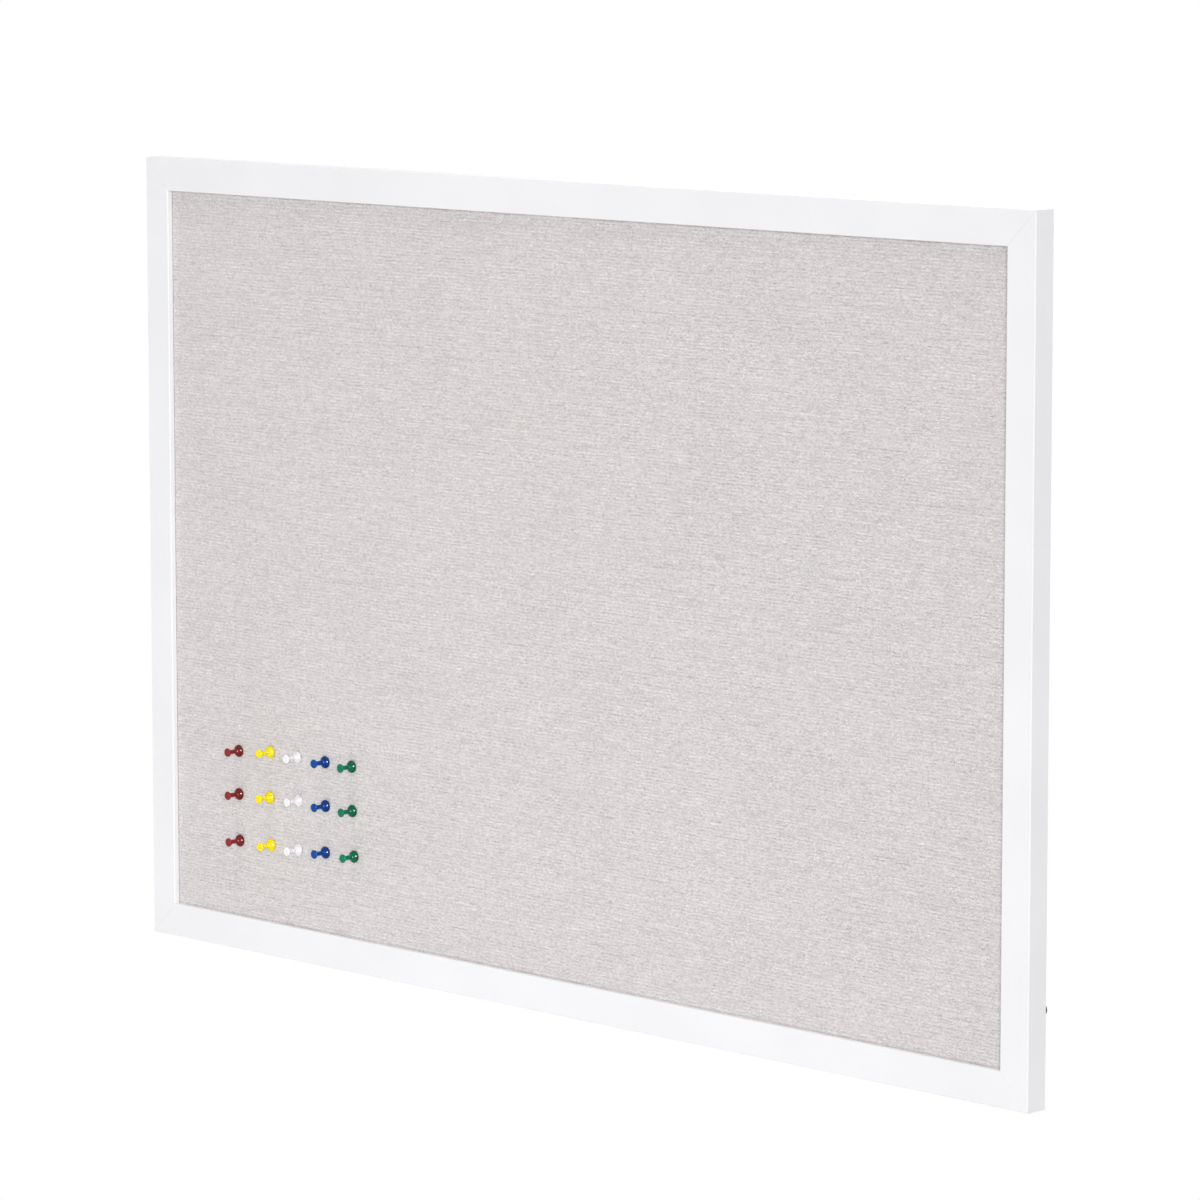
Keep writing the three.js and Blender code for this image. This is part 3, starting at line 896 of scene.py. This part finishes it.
def screw_mesh(name, low, high, pitch):
    """A turned screw. Along the shank the radius is the root plus a ridge where the depth in pitches
    less the angle in turns is near a half past a whole number. On the crown the depth is an ellipse
    less two crossed bars whose walls slope in."""
    sides = 96
    angle = round_angles(sides)
    head_radius = (high.z - low.z) / 2
    shank = high.y - low.y - SCREW_HEAD_HEIGHT
    depth = np.linspace(0, shank - MM, 150)[:, None]
    envelope = np.clip(depth / SCREW_TIP, 0, 1)
    phase = (depth / pitch - angle / math.tau) % 1
    ridge = np.clip(1 - np.abs(phase - 0.5) * 5, 0, 1)
    runout = np.clip((shank - 2 * MM - depth) / MM, 0, 1)
    threaded = envelope * (SCREW_ROOT + (SCREW_SHANK - SCREW_ROOT) * ridge * runout)
    neck_and_rim = np.array([
        (SCREW_ROOT, shank - 0.5 * MM), (SCREW_ROOT, shank), (0.96 * head_radius, shank),
        (head_radius, shank + 0.05 * SCREW_HEAD_HEIGHT), (head_radius, shank + 0.2 * SCREW_HEAD_HEIGHT),
    ])
    crown_share = np.concatenate([np.linspace(0.985, 0.56, 12), np.linspace(0.54, 0, 34)])[:, None]
    crown_radius = crown_share * head_radius + 0 * angle
    x, z = np.abs(crown_radius * np.cos(angle)), np.abs(crown_radius * np.sin(angle))
    width_share = np.clip((RECESS_HALF_WIDTH - np.minimum(x, z)) / RECESS_WALL, 0, 1)
    reach_share = np.clip((RECESS_ARM - np.maximum(x, z)) / RECESS_SLOPE, 0, 1)
    crown_rise = 0.2 + 0.8 * np.sqrt(1 - crown_share**2)
    crown = shank + SCREW_HEAD_HEIGHT * crown_rise - RECESS_DEPTH * width_share * reach_share
    radius = np.vstack([threaded, neck_and_rim[:, :1] + 0 * angle, crown_radius])
    depths = np.vstack([depth + 0 * angle, neck_and_rim[:, 1:] + 0 * angle, crown])
    return turned(name, low, high, low.y, radius, depths, sides)


class PINBOARD_OT_bend_hangers(Operator):
    """Fold the straps, bend the rings and turn the screws that hold them"""

    bl_idname = "pinboard.bend_hangers"
    bl_label = "Bend Hangers"

    def execute(self, context):
        settings = context.scene.pin_board_hangers
        zinc = drawn_steel("zinc_plate", settings.zinc, 0.3, (0.3 * MM, 0.3 * MM, 5 * MM))
        for side in SIDES:
            pivot = RING_PIVOTS[side]
            low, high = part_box(f"hanger_strap_{side}")
            screw_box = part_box(f"hanger_screw_{side}")
            strap = strap_mesh(f"folded_strap_{side}", low, high, pivot, settings.sheet)
            strap = piece(strap, zinc, ROOT_BODY, f"hanger_strap_{side}")
            shaped_by(strap, "SOLIDIFY", thickness=settings.sheet * 0.98, offset=0)
            radii = [0, settings.hole, settings.hole, 0]
            depths = [low.y - MM, low.y - MM, high.y, high.y]
            cutter = new_object(turned("hole_cutter", *screw_box, 0, radii, depths, 48))
            shaped_by(strap, "BOOLEAN", operation="DIFFERENCE", object=cutter, solver="EXACT")
            bpy.data.objects.remove(cutter)
            ring = ring_mesh(f"bent_ring_{side}", pivot, settings)
            piece(ring, zinc, f"ring_{side}", f"hanger_ring_{side}")
            screw = screw_mesh(f"cross_screw_{side}", *screw_box, settings.thread)
            piece(screw, zinc, ROOT_BODY, f"hanger_screw_{side}")
            for sharp in (strap.data, screw):
                sharp.set_sharp_from_angle(angle=math.radians(40))
        return {"FINISHED"}


class PINBOARD_OT_finish_strip_steel(Operator):
    """Give the retaining points and the corner nails their steel"""

    bl_idname = "pinboard.finish_strip_steel"
    bl_label = "Finish Strip Steel"

    def execute(self, context):
        tint = context.scene.pin_board_hangers.strip_steel
        steel = drawn_steel("strip_steel", tint, 0.36, (5 * MM, 0.4 * MM, 0.25 * MM))
        coat(steel, "retaining_point_", "corner_nail_")
        return {"FINISHED"}


# Bumpers


class BumperSettings(PropertyGroup):
    """The rubber bumpers low on the back."""

    rubber: colour("Rubber", (44, 44, 46), "Colour of the rubber")
    gloss: number("Roughness", 0.68, "How matt the rubber is")


# A bumper's outline from its foot to its crown, in shares of its radius and height
BUMPER_SHARES = (
    (0.0, 0.0), (0.7, 0.0), (0.97, 0.0), (1.0, 0.06), (1.0, 0.3), (0.97, 0.5), (0.89, 0.7), (0.76, 0.86),
    (0.56, 0.96), (0.3, 0.995), (0.0, 1.0),
)


def rubber_finish(settings):
    """Moulded rubber: dark, with a fine grain and a dusty bloom."""
    shading = new_shading("moulded_rubber")
    place = shading.solid_place()
    grain = shading.noise(place, 0.25 * MM, detail=2.0)
    bloom = shading.noise(place, 2 * MM, detail=3.0)
    dusty = tuple(min(1.0, part * 2.2 + 0.01) for part in settings.rubber)
    return finish(
        shading,
        shading.blend(shading.step(bloom, 0.4, 0.8) * 0.6, settings.rubber, dusty),
        (grain - 0.5) * 0.2 + settings.gloss,
        shading.bump(grain, 0.04 * MM),
        Specular_IOR_Level=0.35,
    )


class PINBOARD_OT_press_bumpers(Operator):
    """Press the two rubber bumpers onto the rails"""

    bl_idname = "pinboard.press_bumpers"
    bl_label = "Press Bumpers"

    def execute(self, context):
        rubber = rubber_finish(context.scene.pin_board_bumpers)
        for side in SIDES:
            node = f"bumper_{side}"
            low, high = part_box(node)
            mesh = turned_outline(f"pressed_{node}", low, high, low.y, high.y, BUMPER_SHARES, 4, 48)
            piece(mesh, rubber, ROOT_BODY, node)
        return {"FINISHED"}


# Stage


class StageSettings(PropertyGroup):
    """The camera, the lamps and the floor."""

    azimuth: rotation("Azimuth", 45.608, "How far the camera stands round to the right of the front")
    pitch: rotation("Pitch", 7.567, "How far the camera looks down")
    roll: rotation("Roll", -0.028, "How far the camera is turned about its own axis")
    distance: length("Distance", 4138 * MM, "From the camera to the point that it looks at")
    aim_right: length("Aim Right", 18.7 * MM, "How far right of the board's centre the camera looks")
    focal: number("Focal Length", 170.84, "Lens for a 36 mm wide sensor, in mm", 1000.0)
    floor_drop: length("Floor Drop", 1200 * MM, "From the board's centre down to the floor")
    floor_half: length("Floor Half Width", 30.0, "From the middle of the floor to its edge")
    floor: colour("Floor", (236, 236, 236), "Colour of the floor")
    ambient: number("Ambient", 0.42, "Brightness of the light that comes from all round", 4.0)
    key: number("Key", 970.0, "Power of the lamp beside the camera, in watts", 2000.0)
    glint: number("Glint", 12000.0, "Power of the lamp that shows in the glossy pins, in watts", 20000.0)
    front: number("Front", 2.9, "Power of the lamp before the middle of the board, in watts", 1000.0)
    top: number("Top", 74.0, "Power of the large lamp over the board, in watts", 1000.0)
    back: number("Back", 60.0, "Power of the large lamp behind the board, in watts", 1000.0)


SENSOR_WIDTH = 36

# Where each lamp stands, in metres, and its width. The glint lamp only shows as highlights on the heads
KEY_PLACE = (11.2, -9.2, 3.0)
LAMPS = {
    "key": (KEY_PLACE, 3.2),
    "glint": (KEY_PLACE, 4.0),
    "front": ((-0.12, -1.05, -0.35), 1.0),
    "top": ((0.4, -1.2, 4.6), 3.0),
    "back": ((-1.5, 3.2, 1.6), 2.4),
}


def seen_directly(shading):
    """1 for a ray from the camera, a mirror or glass, and 0 for the rays that carry light."""
    rays = [
        shading.add("ShaderNodeLightPath", out=name)
        for name in ("Is Camera Ray", "Is Glossy Ray", "Is Transmission Ray")
    ]
    return shading.maths("MINIMUM", rays[0] + rays[1] + rays[2], 1.0)


def light_world(scene, ambient):
    """A world that is plain white to the eye and gives soft light of the set strength."""
    scene.world = bpy.data.worlds.new("studio")
    shading = Shading(scene.world)
    sockets = shading.tree.nodes["Background"].inputs
    sockets["Color"].default_value = WHITE
    shading.feed(sockets["Strength"], seen_directly(shading) * (1 - ambient) + ambient)


def floor_material(tint):
    """Pale and matt on top and clear from below. The camera sees it as white as the backdrop."""
    shading = new_shading("studio_floor")
    tree = shading.tree
    matt = tree.nodes["Principled BSDF"]
    matt.inputs["Base Color"].default_value = opaque(tint)
    matt.inputs["Roughness"].default_value = 0.9
    glow = shading.add("ShaderNodeEmission", {}, {"Color": WHITE, "Strength": 1.0})
    white = shading.add(
        "ShaderNodeMixShader", {},
        {0: seen_directly(shading), 1: Value(shading, matt.outputs[0]), 2: glow})
    clear = shading.add("ShaderNodeBsdfTransparent")
    below = shading.add("ShaderNodeNewGeometry", out="Backfacing")
    both = shading.add("ShaderNodeMixShader", {}, {0: below, 1: white, 2: clear})
    shading.feed(tree.nodes["Material Output"].inputs["Surface"], both)
    return shading.owner


def make_floor(settings):
    """A level grid of four corners, with its face up."""
    reach = np.array([-settings.floor_half, settings.floor_half])
    x, y = np.meshgrid(reach, reach)
    z = np.full_like(x, -settings.floor_drop)
    mesh = mesh_of("studio_floor", [np.stack([x, y, z], axis=-1)], closed_columns=(False,))
    if mesh.polygons[0].normal.z < 0:
        mesh.flip_normals()
    mesh.materials.append(floor_material(settings.floor))
    new_object(mesh)


def add_lamp(name, place, width, power):
    """A square soft lamp at a place, turned towards the board's centre."""
    lamp = bpy.data.lights.new(name, "AREA")
    lamp.size = width
    lamp.energy = power
    made = new_object(lamp)
    made.location = place
    made.rotation_euler = (-Vector(place)).to_track_quat("-Z", "Y").to_euler()
    return made


def add_camera(scene, settings):
    """Looks down by the pitch, from the azimuth, at a point just right of the centre."""
    lens = bpy.data.cameras.new("camera")
    lens.lens = settings.focal
    lens.sensor_width = SENSOR_WIDTH
    lens.clip_start = 0.1
    lens.clip_end = 200
    camera = new_object(lens)
    turn = Euler((math.pi / 2 - settings.pitch, 0, settings.azimuth)).to_matrix()
    turn = turn @ Matrix.Rotation(settings.roll, 3, "Z")
    right, back = turn.col[0], turn.col[2]
    camera.rotation_euler = turn.to_euler()
    camera.location = right * settings.aim_right + back * settings.distance
    scene.camera = camera


class PINBOARD_OT_set_stage(Operator):
    """Set up the floor, the soft lamps and the camera"""

    bl_idname = "pinboard.set_stage"
    bl_label = "Set Stage"

    def execute(self, context):
        scene = context.scene
        settings = scene.pin_board_stage
        make_floor(settings)
        light_world(scene, settings.ambient)
        lamps = {name: add_lamp(name, *spot, getattr(settings, name)) for name, spot in LAMPS.items()}
        lamps["glint"].visible_diffuse = False
        lamps["glint"].light_linking.receiver_collection = bpy.data.collections.new(MOULDED)
        add_camera(scene, settings)
        scene.view_settings.view_transform = "Standard"
        return {"FINISHED"}


# Add-on

# Each group of settings by its name in the scene, with its operators, in the order of work
GROUPS = {
    "pin_board_stage": (StageSettings, [PINBOARD_OT_set_stage]),
    "pin_board_rails": (RailSettings, [PINBOARD_OT_paint_rails]),
    "pin_board_linen": (LinenSettings, [PINBOARD_OT_stretch_linen]),
    "pin_board_panel": (PanelSettings, [PINBOARD_OT_finish_panel]),
    "pin_board_pins": (PinSettings, [PINBOARD_OT_mould_pins]),
    "pin_board_hangers": (HangerSettings, [PINBOARD_OT_bend_hangers, PINBOARD_OT_finish_strip_steel]),
    "pin_board_bumpers": (BumperSettings, [PINBOARD_OT_press_bumpers]),
}
OPERATORS = [operator for _, operators in GROUPS.values() for operator in operators]


class PINBOARD_PT_sidebar(Panel):
    """Lists the board's settings with the operators that use them"""

    bl_idname = "PINBOARD_PT_sidebar"
    bl_label = "Pin Board"
    bl_space_type = "VIEW_3D"
    bl_region_type = "UI"
    bl_category = "Pin Board"

    def draw(self, context):
        for name, (group, operators) in GROUPS.items():
            box = self.layout.box()
            for setting in group.__annotations__:
                box.prop(getattr(context.scene, name), setting)
            for operator in operators:
                box.operator(operator.bl_idname)


CLASSES = (*(group for group, _ in GROUPS.values()), *OPERATORS, PINBOARD_PT_sidebar)


def register():
    for one_class in CLASSES:
        bpy.utils.register_class(one_class)
    for name, (group, _) in GROUPS.items():
        setattr(bpy.types.Scene, name, bpy.props.PointerProperty(type=group))


def unregister():
    for name in GROUPS:
        delattr(bpy.types.Scene, name)
    for one_class in reversed(CLASSES):
        bpy.utils.unregister_class(one_class)


def main():
    """Runs every operator in order."""
    register()
    for operator in OPERATORS:
        group, name = operator.bl_idname.split(".")
        getattr(getattr(bpy.ops, group), name)()


if __name__ == "__main__":
    main()
